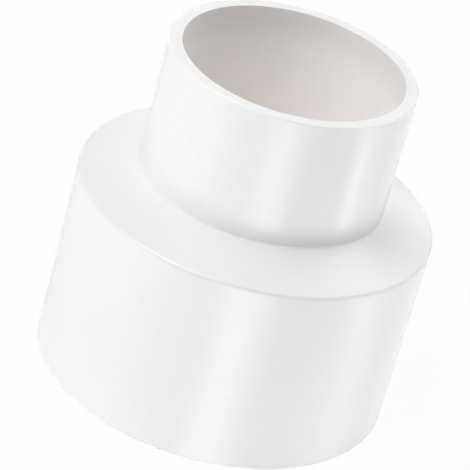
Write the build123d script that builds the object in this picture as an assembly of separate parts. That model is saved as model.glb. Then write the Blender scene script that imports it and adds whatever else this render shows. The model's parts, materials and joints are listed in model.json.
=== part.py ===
from build123d import *

import os
from math import cos, radians, tan

# Concentric pipe reducer, moulded in one piece from rigid white PVC.
# The wide socket at the foot takes the larger pipe, and the narrow socket on top takes the smaller one.
# A conical shoulder joins them, and a lip inside stops the smaller pipe.
# The axis is Z, and the rim of the wide socket stands on Z = 0.

# Driving dimensions, in millimetres and degrees

# The pipes that the sockets take, and the room that the solvent cement fills
large_pipe_diameter = 75.0
small_pipe_diameter = 50.0
cement_gap = 0.15

# How far each pipe goes in before it meets its stop
large_socket_depth = 43.5
small_socket_depth = 29.0

# Walls, and how steeply the shoulder rises from the horizontal
large_wall = 3.0
small_wall = 2.9
shoulder_wall = 2.95
shoulder_angle = 20.85

# The lip that stops the smaller pipe: how far it stands in, and the length of its straight passage
lip_height = 2.0
lip_length = 2.4

# Edges
rim_round = 0.3
mouth_chamfer = 0.1
shoulder_round = 0.6
crease_fillet = 0.25
root_fillet = 0.3
lip_round = 0.4

# Radii about the axis
large_socket_radius = large_pipe_diameter / 2 + cement_gap
small_socket_radius = small_pipe_diameter / 2 + cement_gap
large_radius = large_socket_radius + large_wall
small_radius = small_socket_radius + small_wall
passage_radius = small_socket_radius - lip_height

# Heights along the axis, from the foot up
shoulder_slope = tan(radians(shoulder_angle))
shoulder_thickness = shoulder_wall / cos(radians(shoulder_angle))
edge_height = large_socket_depth + shoulder_thickness - large_wall * shoulder_slope
crease_height = edge_height + (large_radius - small_radius) * shoulder_slope
passage_foot = large_socket_depth + (large_socket_radius - passage_radius) * shoulder_slope
passage_top = passage_foot + lip_length
total_height = passage_top + small_socket_depth


def sharp_section():
    """Corners of the wall's half section as (radius, height), up the outside and down the inside."""
    return {
        "foot_mouth": (large_socket_radius, 0),
        "foot_rim": (large_radius, 0),
        "shoulder_edge": (large_radius, edge_height),
        "crease": (small_radius, crease_height),
        "top_rim": (small_radius, total_height),
        "top_mouth": (small_socket_radius, total_height),
        "small_root": (small_socket_radius, passage_top),
        "lip_top": (passage_radius, passage_top),
        "lip_foot": (passage_radius, passage_foot),
        "large_root": (large_socket_radius, large_socket_depth),
    }


def moulded_section():
    """The half section with its corners rounded and its mouths chamfered as the mould leaves them."""
    corners = sharp_section()
    rounds = {
        "foot_rim": rim_round,
        "shoulder_edge": shoulder_round,
        "crease": crease_fillet,
        "top_rim": rim_round,
        "small_root": root_fillet,
        "lip_top": lip_round,
        "lip_foot": lip_round,
        "large_root": root_fillet,
    }
    section = make_face(Polyline(*corners.values(), close=True))
    for name, radius in rounds.items():
        section = fillet(section.vertices().sort_by_distance(corners[name])[0], radius)
    for name in ("foot_mouth", "top_mouth"):
        section = chamfer(section.vertices().sort_by_distance(corners[name])[0], mouth_chamfer)
    return section


def reducer_body():
    """The whole moulding: the half section turned once about the axis."""
    return revolve(Plane.XZ * moulded_section(), axis=Axis.Z)


os.makedirs("parts", exist_ok=True)
export_step(reducer_body(), "parts/reducer_body.step")
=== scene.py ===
import json
import math

import bpy
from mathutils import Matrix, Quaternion, Vector


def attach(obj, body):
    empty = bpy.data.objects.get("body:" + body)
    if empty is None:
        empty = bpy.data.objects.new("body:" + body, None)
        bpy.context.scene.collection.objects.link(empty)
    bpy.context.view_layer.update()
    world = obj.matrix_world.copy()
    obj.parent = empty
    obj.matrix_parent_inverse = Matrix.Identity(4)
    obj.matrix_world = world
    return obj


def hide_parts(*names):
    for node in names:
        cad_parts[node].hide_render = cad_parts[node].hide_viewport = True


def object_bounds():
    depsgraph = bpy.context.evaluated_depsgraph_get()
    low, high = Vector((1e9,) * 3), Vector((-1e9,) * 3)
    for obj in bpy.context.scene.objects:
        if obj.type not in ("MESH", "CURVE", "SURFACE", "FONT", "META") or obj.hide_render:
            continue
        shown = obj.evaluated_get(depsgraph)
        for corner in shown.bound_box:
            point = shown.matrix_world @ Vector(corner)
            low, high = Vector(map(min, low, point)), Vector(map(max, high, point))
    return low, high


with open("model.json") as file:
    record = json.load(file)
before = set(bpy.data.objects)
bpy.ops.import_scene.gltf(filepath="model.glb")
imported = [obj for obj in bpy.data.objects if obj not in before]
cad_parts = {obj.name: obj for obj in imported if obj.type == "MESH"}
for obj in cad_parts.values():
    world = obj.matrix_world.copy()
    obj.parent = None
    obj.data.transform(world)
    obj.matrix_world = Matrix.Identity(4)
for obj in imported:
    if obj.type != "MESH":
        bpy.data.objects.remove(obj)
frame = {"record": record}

bl_info = {
    "name": "Moulded pipe reducer",
    "version": (1, 0, 0),
    "blender": (4, 5, 0),
    "location": "3D View > Sidebar > Reducer",
    "description": "Turns a white PVC pipe reducer from its section and lights it on a studio floor",
    "category": "Add Mesh",
}

MM = 0.001
BODY = "root"
NODE = "reducer_body"
PIECE = "reducer_moulding"
WHITE = (1.0, 1.0, 1.0, 1.0)

# The mesh attribute that is 1 on the sockets' walls, and the section's corner where they begin
INSIDE = "inside"
FIRST_INNER_CORNER = 6

# Specks on the outside of the narrow wall and of the wide one.
# Each has its degrees round to the camera's right and its height in millimetres.
SMALL_WALL_SPECKS = ((-14.7, 67.2), (-36.5, 66.3), (-13.0, 76.6), (-15.5, 62.3), (-49.2, 66.7))
LARGE_WALL_SPECKS = ((-17.8, 27.6), (7.4, 17.5))

# How fine the plastic's patterns are, in cells per metre
CLOUD_SCALE = 70.0
DRAW_SCALE = 420.0
PEEL_SCALE = 650.0
LOOSE_SPECK_SCALE = 110.0
RAGGED_SCALE = 2500.0

# How fine the draw marks are along the axis, as a share of how fine they are across it
DRAW_STRETCH = 0.05

# How deep the painted shade beside a mouth keeps its full strength
PAINTED_MOUTH_START = 1.5 * MM

# How far below the shoulder's corner the middle of the painted shade on its edge lies
EDGE_DROP = 0.3 * MM

PVC_IOR = 1.53

# The stage in metres: half the floor's side, the height that the panels face,
# and how far off the panels round the part and the ones under the floor are
FLOOR_HALF = 4.0
PANEL_AIM = 40 * MM
NEAR = 0.9
FAR = 2.5

SENSOR_WIDTH_MM = 36.0

CAD_LOW, CAD_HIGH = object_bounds()
SOCKETS = {mount["name"]: mount["dims"] for mount in frame["record"]["mounts"] if mount["kind"] == "bore"}


def length(name, description, default):
    """A size in metres that a user can change."""
    return bpy.props.FloatProperty(
        name=name,
        description=description,
        default=default,
        min=0.0,
        precision=5,
        subtype="DISTANCE",
        unit="LENGTH",
    )


def share(name, description, default):
    """A value from 0 to 1."""
    return bpy.props.FloatProperty(
        name=name, description=description, default=default, min=0.0, max=1.0, subtype="FACTOR"
    )


def colour(name, description, default):
    """A linear colour."""
    return bpy.props.FloatVectorProperty(
        name=name, description=description, default=default, size=3, min=0.0, max=1.0, subtype="COLOR"
    )


class ReducerSizes(bpy.types.PropertyGroup):
    """Sizes of the moulding's section"""

    large_radius: length("Large radius", "Outside radius of the wide end", (CAD_HIGH.x - CAD_LOW.x) / 2)
    total_height: length("Height", "From the foot's rim to the top rim", CAD_HIGH.z - CAD_LOW.z)
    large_socket_radius: length(
        "Large socket radius", "Inside radius of the wide socket", SOCKETS["large_socket"]["r_mm"] * MM
    )
    small_socket_radius: length(
        "Small socket radius", "Inside radius of the narrow socket", SOCKETS["small_socket"]["r_mm"] * MM
    )
    small_wall: length("Small wall", "Thickness of the narrow end's wall", 2.9 * MM)
    shoulder_wall: length("Shoulder wall", "Thickness of the shoulder, square to its slope", 2.95 * MM)
    shoulder_angle: bpy.props.FloatProperty(
        name="Shoulder angle",
        description="How steeply the shoulder rises from the horizontal",
        default=math.radians(20.85),
        subtype="ANGLE",
        unit="ROTATION",
    )
    large_socket_depth: length("Large socket depth", "From the foot's rim to the conical ledge", 43.5 * MM)
    small_socket_depth: length("Small socket depth", "From the top rim to the lip", 29.0 * MM)
    lip_height: length("Lip height", "How far the lip stands in from the narrow socket's wall", 2.0 * MM)
    mouth_chamfer: length("Mouth chamfer", "Chamfer at each socket's mouth", 0.1 * MM)
    rim_round: length("Rim round", "Round on the outer edge of each rim", 0.3 * MM)
    shoulder_round: length("Shoulder round", "Round where the shoulder meets the wide wall", 0.6 * MM)
    crease_fillet: length("Crease fillet", "Fillet where the shoulder meets the narrow wall", 0.25 * MM)
    root_fillet: length("Root fillet", "Fillet at the bottom of each socket", 0.3 * MM)
    lip_round: length("Lip round", "Round on the lip's edges", 0.4 * MM)
    segments: bpy.props.IntProperty(
        name="Segments", description="Steps around the axis", default=256, min=3
    )
    round_steps: bpy.props.IntProperty(
        name="Round steps", description="Points inside each rounding", default=6, min=1
    )


class ReducerFinish(bpy.types.PropertyGroup):
    """Look of the plastic"""

    plastic: colour("Plastic", "Colour of the white PVC", (0.86, 0.86, 0.86))
    skin_roughness: share("Skin roughness", "Roughness of the moulded skin outside", 0.25)
    socket_roughness: share("Socket roughness", "Roughness of the skin inside the sockets", 0.34)
    cloud_shade: share("Cloud shade", "How much the plastic's tone drifts from place to place", 0.012)
    draw_shade: share("Draw shade", "How much the draw marks up the walls darken the plastic", 0.010)
    draw_roughness: share("Draw roughness", "How much rougher the draw marks are than the skin", 0.06)
    # Painted shade: the sockets' walls are darkened near each mouth, fading deeper in
    painted_mouth_shade: share("Mouth shade", "How much greyer the sockets' walls are beside their mouths", 0.11)
    painted_mouth_reach: length("Mouth reach", "How far that grey goes in from each mouth", 10.0 * MM)
    # Painted shade along the shoulder's rounded edge, darkening the highlight the round would catch; the
    # reach below serves the crease too
    painted_edge_shade: share("Edge shade", "How much greyer the shade-painted edge of the shoulder is", 0.065)
    # Painted shade in the crease where the shoulder meets the narrow wall
    painted_crease_shade: share("Crease shade", "How much greyer the shade-painted crease is", 0.05)
    painted_shade_reach: length("Painted shade reach", "How far the painted shade goes from the edge and the crease", 0.8 * MM)
    speck_shade: share("Speck shade", "How much darker a speck is than the plastic", 0.06)
    speck_size: length("Speck size", "Radius of a speck", 0.45 * MM)
    speck_depth: length("Speck depth", "How deep a speck lies in the skin", 0.02 * MM)
    peel_depth: length("Peel depth", "Height of the skin's faint orange peel", 0.012 * MM)


class StudioSettings(bpy.types.PropertyGroup):
    """Floor, lights and camera"""

    floor: colour("Floor", "Colour of the floor", (0.85, 0.85, 0.85))
    floor_white: share("White of the floor", "How much of the floor is seen as plain white", 0.96)
    camera_height: length("Camera height", "Height of the camera above the floor", 383.24 * MM)
    camera_distance: length("Camera distance", "Level distance from the axis to the camera", 618.75 * MM)
    aim_side: bpy.props.FloatProperty(
        name="Aim to the side",
        description="Where the view's centre crosses the axis plane, from the axis to the right",
        default=-2.47 * MM,
        subtype="DISTANCE",
        unit="LENGTH",
    )
    aim_height: length("Aim height", "Height where the view's centre crosses the axis plane", 34.6 * MM)
    roll: bpy.props.FloatProperty(
        name="Roll",
        description="How far the camera is turned about its view",
        default=math.radians(15.585),
        subtype="ANGLE",
        unit="ROTATION",
    )
    lens: bpy.props.FloatProperty(
        name="Lens", description="Focal length", default=241.41, min=1.0, subtype="DISTANCE_CAMERA"
    )


def new_node(tree, kind, inputs=None, **settings):
    """Adds a node with these settings, and fills its inputs with values or with other nodes' outputs."""
    node = tree.nodes.new(kind)
    for name, value in settings.items():
        setattr(node, name, value)
    for key, value in (inputs or {}).items():
        if isinstance(value, bpy.types.NodeSocket):
            tree.links.new(value, node.inputs[key])
        else:
            node.inputs[key].default_value = value
    return node


def calculate(tree, operation, first, second, third=None, clamp=False):
    """The output of a maths node."""
    inputs = {0: first, 1: second}
    if third is not None:
        inputs[2] = third
    return new_node(tree, "ShaderNodeMath", inputs, operation=operation, use_clamp=clamp).outputs[0]


def vector_maths(tree, operation, *vectors, output="Vector"):
    """An output of a vector maths node."""
    node = new_node(tree, "ShaderNodeVectorMath", dict(enumerate(vectors)), operation=operation)
    return node.outputs[output]


def section_values(sizes):
    """The lathe's inputs, worked out from the sizes."""
    slope = math.tan(sizes.shoulder_angle)
    large_wall = sizes.large_radius - sizes.large_socket_radius
    small_radius = sizes.small_socket_radius + sizes.small_wall
    passage_radius = sizes.small_socket_radius - sizes.lip_height
    edge_height = (
        sizes.large_socket_depth + sizes.shoulder_wall / math.cos(sizes.shoulder_angle) - large_wall * slope
    )
    return {
        "Large Radius": sizes.large_radius,
        "Small Radius": small_radius,
        "Large Socket Radius": sizes.large_socket_radius,
        "Small Socket Radius": sizes.small_socket_radius,
        "Passage Radius": passage_radius,
        "Foot": 0.0,
        "Edge Height": edge_height,
        "Crease Height": edge_height + (sizes.large_radius - small_radius) * slope,
        "Total Height": sizes.total_height,
        "Passage Top": sizes.total_height - sizes.small_socket_depth,
        "Passage Foot": sizes.large_socket_depth + (sizes.large_socket_radius - passage_radius) * slope,
        "Large Socket Depth": sizes.large_socket_depth,
        "Mouth Chamfer": sizes.mouth_chamfer,
        "Rim Round": sizes.rim_round,
        "Shoulder Round": sizes.shoulder_round,
        "Crease Fillet": sizes.crease_fillet,
        "Root Fillet": sizes.root_fillet,
        "Lip Round": sizes.lip_round,
        "Segments": sizes.segments,
        "Round Steps": sizes.round_steps,
    }


def lathe_tree(values, material):
    """A node tree that rounds the corners of the wall's section and turns it about the axis."""
    tree = bpy.data.node_groups.new("Reducer lathe", "GeometryNodeTree")
    tree.is_modifier = True
    tree.interface.new_socket("Geometry", in_out="OUTPUT", socket_type="NodeSocketGeometry")
    for name, value in values.items():
        kind = "NodeSocketInt" if isinstance(value, int) else "NodeSocketFloat"
        tree.interface.new_socket(name, in_out="INPUT", socket_type=kind).default_value = value
    given = new_node(tree, "NodeGroupInput").outputs
    large_mouth = calculate(tree, "ADD", given["Large Socket Radius"], given["Mouth Chamfer"])
    small_mouth = calculate(tree, "ADD", given["Small Socket Radius"], given["Mouth Chamfer"])
    small_mouth_foot = calculate(tree, "SUBTRACT", given["Total Height"], given["Mouth Chamfer"])

    # Radius, height and rounding of each corner, up the outside and down the inside.
    # A corner without a rounding keeps the switch's default of 0.
    corners = [
        (large_mouth, given["Foot"], None),
        (given["Large Radius"], given["Foot"], given["Rim Round"]),
        (given["Large Radius"], given["Edge Height"], given["Shoulder Round"]),
        (given["Small Radius"], given["Crease Height"], given["Crease Fillet"]),
        (given["Small Radius"], given["Total Height"], given["Rim Round"]),
        (small_mouth, given["Total Height"], None),
        (given["Small Socket Radius"], small_mouth_foot, None),
        (given["Small Socket Radius"], given["Passage Top"], given["Root Fillet"]),
        (given["Passage Radius"], given["Passage Top"], given["Lip Round"]),
        (given["Passage Radius"], given["Passage Foot"], given["Lip Round"]),
        (given["Large Socket Radius"], given["Large Socket Depth"], given["Root Fillet"]),
        (given["Large Socket Radius"], given["Mouth Chamfer"], None),
    ]
    index = new_node(tree, "GeometryNodeInputIndex").outputs[0]
    places = new_node(tree, "GeometryNodeIndexSwitch", {"Index": index}, data_type="VECTOR")
    rounds = new_node(tree, "GeometryNodeIndexSwitch", {"Index": index}, data_type="FLOAT")
    for switch in (places, rounds):
        while len(switch.index_switch_items) < len(corners):
            switch.index_switch_items.new()
    for number, (radius, height, rounding) in enumerate(corners):
        place = new_node(tree, "ShaderNodeCombineXYZ", {"X": radius, "Y": height}).outputs[0]
        tree.links.new(place, places.inputs[number + 1])
        if rounding is not None:
            tree.links.new(rounding, rounds.inputs[number + 1])

    points = new_node(
        tree, "GeometryNodePoints", {"Count": len(corners), "Position": places.outputs[0]}
    ).outputs[0]
    outline = new_node(tree, "GeometryNodePointsToCurves", {"Points": points}).outputs[0]
    closed = new_node(tree, "GeometryNodeSetSplineCyclic", {"Geometry": outline, "Cyclic": True}).outputs[0]
    inner = new_node(
        tree,
        "FunctionNodeCompare",
        {2: index, 3: FIRST_INNER_CORNER},
        data_type="INT",
        operation="GREATER_EQUAL",
    ).outputs[0]
    marked = new_node(
        tree,
        "GeometryNodeStoreNamedAttribute",
        {"Geometry": closed, "Name": INSIDE, "Value": inner},
        data_type="FLOAT",
        domain="POINT",
    ).outputs[0]
    rounded = new_node(
        tree,
        "GeometryNodeFilletCurve",
        {"Curve": marked, "Count": given["Round Steps"], "Radius": rounds.outputs[0]},
        mode="POLY",
    ).outputs[0]

    # The section is carried round a unit circle, where its X points outwards and its Y points down.
    # It is mirrored for that, so the faces are turned over again.
    section = new_node(
        tree,
        "GeometryNodeTransform",
        {"Geometry": rounded, "Translation": (-1.0, 0.0, 0.0), "Scale": (1.0, -1.0, 1.0)},
    ).outputs[0]
    circle = new_node(
        tree,
        "GeometryNodeCurvePrimitiveCircle",
        {"Resolution": given["Segments"], "Radius": 1.0},
        mode="RADIUS",
    ).outputs[0]
    turned = new_node(
        tree, "GeometryNodeCurveToMesh", {"Curve": circle, "Profile Curve": section}
    ).outputs[0]
    outward = new_node(tree, "GeometryNodeFlipFaces", {"Mesh": turned}).outputs[0]
    smooth = new_node(
        tree, "GeometryNodeSetShadeSmooth", {"Geometry": outward, "Shade Smooth": True}
    ).outputs[0]
    real = new_node(tree, "GeometryNodeRealizeInstances", {"Geometry": smooth}).outputs[0]
    finished = new_node(
        tree, "GeometryNodeSetMaterial", {"Geometry": real, "Material": material}
    ).outputs[0]
    new_node(tree, "NodeGroupOutput", {"Geometry": finished})
    return tree


def turned_mesh(values, material):
    """The lathe's result as a plain mesh, with the walls' normals kept straight beside the roundings."""
    tree = lathe_tree(values, material)
    blank = bpy.data.objects.new("lathe blank", bpy.data.meshes.new("lathe blank"))
    bpy.context.scene.collection.objects.link(blank)
    lathe = blank.modifiers.new("Lathe", "NODES")
    lathe.node_group = tree
    for item in tree.interface.items_tree:
        if item.in_out == "INPUT":
            lathe[item.identifier] = values[item.name]
    straighten = blank.modifiers.new("Straight walls", "WEIGHTED_NORMAL")
    strongest = 100
    straighten.weight = strongest
    mesh = bpy.data.meshes.new_from_object(blank.evaluated_get(bpy.context.evaluated_depsgraph_get()))
    blank_mesh = blank.data
    bpy.data.objects.remove(blank)
    bpy.data.meshes.remove(blank_mesh)
    return mesh


def fade(tree, value, near, far):
    """1 up to the near value, and from there smoothly down to 0 at the far one."""
    return new_node(
        tree,
        "ShaderNodeMapRange",
        {"Value": value, "From Min": near, "From Max": far, "To Min": 1.0, "To Max": 0.0},
        interpolation_type="SMOOTHSTEP",
    ).outputs[0]


def noise(tree, place, scale, detail):
    """A soft pattern from 0 to 1."""
    return new_node(
        tree, "ShaderNodeTexNoise", {"Vector": place, "Scale": scale, "Detail": detail}
    ).outputs[0]


def speck_mask(tree, place, values, size):
    """1 at the middle of each speck and 0 away from them: the ones seen on the walls, and loose ones."""
    ragged = new_node(tree, "ShaderNodeTexNoise", {"Vector": place, "Scale": RAGGED_SCALE})
    shift = vector_maths(tree, "SUBTRACT", ragged.outputs["Color"], (0.5, 0.5, 0.5))
    shaken = vector_maths(tree, "MULTIPLY_ADD", shift, (size, size, size), place)
    loose = new_node(tree, "ShaderNodeTexVoronoi", {"Vector": shaken, "Scale": LOOSE_SPECK_SCALE})
    nearest = calculate(tree, "DIVIDE", loose.outputs["Distance"], LOOSE_SPECK_SCALE)
    for wall, specks in (("Small Radius", SMALL_WALL_SPECKS), ("Large Radius", LARGE_WALL_SPECKS)):
        for degrees, height in specks:
            turn = math.radians(degrees)
            middle = (values[wall] * math.sin(turn), -values[wall] * math.cos(turn), height * MM)
            gap = vector_maths(tree, "DISTANCE", shaken, middle, output="Value")
            nearest = calculate(tree, "MINIMUM", nearest, gap)
    return fade(tree, nearest, 0.0, size)


def painted_mouth_mask(tree, place, inside, finish, values):
    """Painted shade inside the sockets' mouths: 1 there, fading with depth."""
    height = new_node(tree, "ShaderNodeSeparateXYZ", {0: place}).outputs["Z"]
    below_top = calculate(tree, "SUBTRACT", values["Total Height"], height)
    depth = calculate(tree, "MINIMUM", height, below_top)
    return calculate(tree, "MULTIPLY", fade(tree, depth, PAINTED_MOUTH_START, finish.painted_mouth_reach), inside)


def corner_mask(tree, place, radius, height, reach):
    """1 along a corner of the section, fading with the distance from it."""
    level = vector_maths(tree, "MULTIPLY", place, (1.0, 1.0, 0.0))
    radius_here = vector_maths(tree, "LENGTH", level, output="Value")
    height_here = new_node(tree, "ShaderNodeSeparateXYZ", {0: place}).outputs["Z"]
    here = new_node(tree, "ShaderNodeCombineXYZ", {"X": radius_here, "Y": height_here}).outputs[0]
    gap = vector_maths(tree, "DISTANCE", here, (radius, height, 0.0), output="Value")
    return fade(tree, gap, 0.0, reach)


def pvc_material(finish, values):
    """White moulded PVC: a faint orange peel, draw marks up the walls and a few specks, with painted shade
    in the sockets' mouths, along the shoulder's edge and in the crease.
    """
    material = bpy.data.materials.new("White PVC")
    material.use_nodes = True
    tree = material.node_tree
    tree.nodes.clear()
    inside = new_node(tree, "ShaderNodeAttribute", attribute_name=INSIDE).outputs["Fac"]
    place = new_node(tree, "ShaderNodeTexCoord").outputs["Object"]
    specks = speck_mask(tree, place, values, finish.speck_size)
    # Masks of the painted shade: inside the sockets' mouths, along the shoulder's rounded edge and in the
    # crease
    mouths = painted_mouth_mask(tree, place, inside, finish, values)
    edge_height = values["Edge Height"] - EDGE_DROP
    edge = corner_mask(tree, place, values["Large Radius"], edge_height, finish.painted_shade_reach)
    crease = corner_mask(tree, place, values["Small Radius"], values["Crease Height"], finish.painted_shade_reach)
    clouds = noise(tree, place, CLOUD_SCALE, detail=3.0)
    peel = noise(tree, place, PEEL_SCALE, detail=1.0)
    stretch = (1.0, 1.0, DRAW_STRETCH)
    drawn_out = new_node(tree, "ShaderNodeMapping", {"Vector": place, "Scale": stretch}).outputs[0]
    draw_marks = noise(tree, drawn_out, DRAW_SCALE, detail=4.0)

    # The plastic's tone, darkened a little by each kind of mark and by the painted shade in the mouths, on
    # the shoulder's edge and in the crease.
    # Clouds and draw marks are a half on average, so their shades count twice.
    marks = (
        (clouds, 2 * finish.cloud_shade),
        (draw_marks, 2 * finish.draw_shade),
        (specks, finish.speck_shade),
        (mouths, finish.painted_mouth_shade),
        (edge, finish.painted_edge_shade),
        (crease, finish.painted_crease_shade),
    )
    tone = 1.0
    for mark, shade in marks:
        tone = calculate(tree, "SUBTRACT", tone, calculate(tree, "MULTIPLY", mark, shade))
    colour_here = new_node(
        tree, "ShaderNodeVectorMath", {0: finish.plastic, "Scale": tone}, operation="SCALE"
    ).outputs[0]

    skin = new_node(
        tree,
        "ShaderNodeMapRange",
        {"Value": inside, "To Min": finish.skin_roughness, "To Max": finish.socket_roughness},
    ).outputs[0]
    drawn_skin = calculate(tree, "MULTIPLY_ADD", draw_marks, finish.draw_roughness, skin)
    roughness = calculate(tree, "SUBTRACT", drawn_skin, finish.draw_roughness / 2)

    peel_height = calculate(tree, "MULTIPLY", peel, finish.peel_depth)
    height = calculate(tree, "MULTIPLY_ADD", specks, -finish.speck_depth, peel_height)
    bump = new_node(
        tree, "ShaderNodeBump", {"Strength": 1.0, "Distance": 1.0, "Height": height}
    ).outputs[0]
    shader = new_node(
        tree,
        "ShaderNodeBsdfPrincipled",
        {"Base Color": colour_here, "Roughness": roughness, "IOR": PVC_IOR, "Normal": bump},
    )
    new_node(tree, "ShaderNodeOutputMaterial", {"Surface": shader.outputs[0]})
    return material


class REDUCER_OT_moulding(bpy.types.Operator):
    """Turn the moulding from its section and give it its plastic"""

    bl_idname = "reducer.moulding"
    bl_label = "Moulding"

    def execute(self, context):
        values = section_values(context.scene.reducer_sizes)
        mesh = turned_mesh(values, pvc_material(context.scene.reducer_finish, values))
        mesh.name = PIECE
        piece = bpy.data.objects.new(PIECE, mesh)
        context.scene.collection.objects.link(piece)
        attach(piece, BODY)
        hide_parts(NODE)
        return {"FINISHED"}


def seen_rays(tree):
    """1 for the rays that show the surroundings: straight, mirrored or through something clear."""
    rays = new_node(tree, "ShaderNodeLightPath").outputs
    seen = calculate(tree, "ADD", rays["Is Camera Ray"], rays["Is Glossy Ray"], clamp=True)
    return calculate(tree, "ADD", seen, rays["Is Transmission Ray"], clamp=True)


def floor_material(tint, white):
    """A pale floor that is seen as white, with a faint shadow left in it."""
    material = bpy.data.materials.new("Pale floor")
    material.use_nodes = True
    tree = material.node_tree
    tree.nodes.clear()
    share_seen = calculate(tree, "MULTIPLY", seen_rays(tree), white)
    pale = new_node(tree, "ShaderNodeBsdfDiffuse", {"Color": (*tint, 1.0)}).outputs[0]
    glow = new_node(tree, "ShaderNodeEmission", {"Color": WHITE, "Strength": 1.0}).outputs[0]
    mixed = new_node(tree, "ShaderNodeMixShader", {0: share_seen, 1: pale, 2: glow}).outputs[0]
    new_node(tree, "ShaderNodeOutputMaterial", {"Surface": mixed})
    return material


def make_floor(studio):
    """The floor. Lamps under it shine through it, as through a glass table."""
    half = FLOOR_HALF
    corners = [(-half, -half, 0), (half, -half, 0), (half, half, 0), (-half, half, 0)]
    mesh = bpy.data.meshes.new("floor")
    mesh.from_pydata(corners, [], [(0, 1, 2, 3)])
    mesh.materials.append(floor_material(studio.floor, studio.floor_white))
    floor = bpy.data.objects.new("floor", mesh)
    bpy.context.scene.collection.objects.link(floor)
    floor.visible_shadow = False


def make_world():
    """White surroundings, which are seen but light nothing."""
    world = bpy.data.worlds.new("Studio")
    bpy.context.scene.world = world
    world.use_nodes = True
    tree = world.node_tree
    tree.nodes.clear()
    light = new_node(
        tree, "ShaderNodeBackground", {"Color": WHITE, "Strength": seen_rays(tree)}
    ).outputs[0]
    new_node(tree, "ShaderNodeOutputWorld", {"Surface": light})


def panel_light(name, azimuth, elevation, distance, width, height, radiance, tint=(1.0, 1.0, 1.0)):
    """A soft panel that faces the part, with its azimuth from the camera's side to the picture's right."""
    aim = Vector((0.0, 0.0, PANEL_AIM))
    level = math.cos(math.radians(elevation))
    away = Vector(
        (
            math.sin(math.radians(azimuth)) * level,
            -math.cos(math.radians(azimuth)) * level,
            math.sin(math.radians(elevation)),
        )
    )
    data = bpy.data.lights.new(name, "AREA")
    data.shape = "RECTANGLE"
    data.size = width
    data.size_y = height
    data.energy = radiance * math.pi * width * height
    data.color = tint
    panel = bpy.data.objects.new(name, data)
    bpy.context.scene.collection.objects.link(panel)
    panel.location = aim + away * distance
    panel.rotation_mode = "QUATERNION"
    panel.rotation_quaternion = (-away).to_track_quat("-Z", "Y")
    panel.visible_camera = False
    data.cycles.use_multiple_importance_sampling = False


def make_camera(studio):
    """The camera, which looks down at the part and is rolled about its view."""
    data = bpy.data.cameras.new("camera")
    data.sensor_width = SENSOR_WIDTH_MM
    data.lens = studio.lens
    camera = bpy.data.objects.new("camera", data)
    bpy.context.scene.collection.objects.link(camera)
    camera.location = (0.0, -studio.camera_distance, studio.camera_height)
    view = Vector((studio.aim_side, 0.0, studio.aim_height)) - camera.location
    camera.rotation_mode = "QUATERNION"
    camera.rotation_quaternion = view.to_track_quat("-Z", "Y") @ Quaternion((0, 0, 1), studio.roll)
    bpy.context.scene.camera = camera


class REDUCER_OT_stage(bpy.types.Operator):
    """Set the floor, the lights and the camera round the part"""

    bl_idname = "reducer.stage"
    bl_label = "Stage"

    def execute(self, context):
        studio = context.scene.reducer_studio
        make_floor(studio)
        make_world()

        # Panels round the part: azimuth, elevation, distance, width, height and radiance
        panel_light("front key", -45, 50, NEAR, 0.65, 0.75, 2.20)
        panel_light("left key", -80, 68, NEAR, 0.5, 0.5, 3.06)
        panel_light("left bank", -60, 12, NEAR, 1.0, 0.5, 1.97)
        panel_light("top panel", 0, 90, NEAR, 0.65, 0.65, 0.42)
        panel_light("right bank", 115, 30, NEAR, 1.0, 1.0, 1.34)
        panel_light("right panel", 70, 0, NEAR, 0.7, 0.3, 2.30)
        panel_light("back panel", 170, 15, NEAR, 0.75, 0.48, 1.40)
        panel_light("back spot", 148, 50, NEAR, 0.22, 0.22, 1.49)

        # Low panels that shine up through the floor and give the walls their upright highlights
        panel_light("left low", -54.5, -31, FAR, 1.67, 0.61, 0.38)
        panel_light("front strip", 11.25, -31, FAR, 1.33, 0.61, 3.13)
        panel_light("front strip core", 11.25, -31, FAR, 0.66, 0.61, 1.42)
        panel_light("right low", 50, -31, FAR, 1.67, 0.61, 0.93)
        panel_light("side strip", 90, -29.5, FAR, 1.67, 0.61, 1.04)
        panel_light("side strip core", 88, -26.5, FAR, 0.5, 0.24, 4.12)

        # A small warm lamp just under the foot, which lights the inside
        lamp_distance = 50 * MM
        lamp_width = 52 * MM
        warm = (1.15, 1.0, 0.9)
        panel_light("socket light", 0, -90, lamp_distance, lamp_width, lamp_width, 1.85, warm)

        make_camera(studio)
        context.scene.view_settings.view_transform = "Standard"
        return {"FINISHED"}


class REDUCER_PT_sidebar(bpy.types.Panel):
    """Sizes, finish and stage of the reducer"""

    bl_idname = "REDUCER_PT_sidebar"
    bl_label = "Pipe reducer"
    bl_space_type = "VIEW_3D"
    bl_region_type = "UI"
    bl_category = "Reducer"

    def draw(self, context):
        for operator, group in (
            (REDUCER_OT_moulding, context.scene.reducer_sizes),
            (None, context.scene.reducer_finish),
            (REDUCER_OT_stage, context.scene.reducer_studio),
        ):
            box = self.layout.box()
            for name in group.__annotations__:
                box.prop(group, name)
            if operator:
                box.operator(operator.bl_idname)


CLASSES = (
    ReducerSizes,
    ReducerFinish,
    StudioSettings,
    REDUCER_OT_moulding,
    REDUCER_OT_stage,
    REDUCER_PT_sidebar,
)


def register():
    for kind in CLASSES:
        bpy.utils.register_class(kind)
    bpy.types.Scene.reducer_sizes = bpy.props.PointerProperty(type=ReducerSizes)
    bpy.types.Scene.reducer_finish = bpy.props.PointerProperty(type=ReducerFinish)
    bpy.types.Scene.reducer_studio = bpy.props.PointerProperty(type=StudioSettings)


def unregister():
    del bpy.types.Scene.reducer_studio
    del bpy.types.Scene.reducer_finish
    del bpy.types.Scene.reducer_sizes
    for kind in reversed(CLASSES):
        bpy.utils.unregister_class(kind)


def main():
    register()
    bpy.ops.reducer.moulding()
    bpy.ops.reducer.stage()


if __name__ == "__main__":
    main()
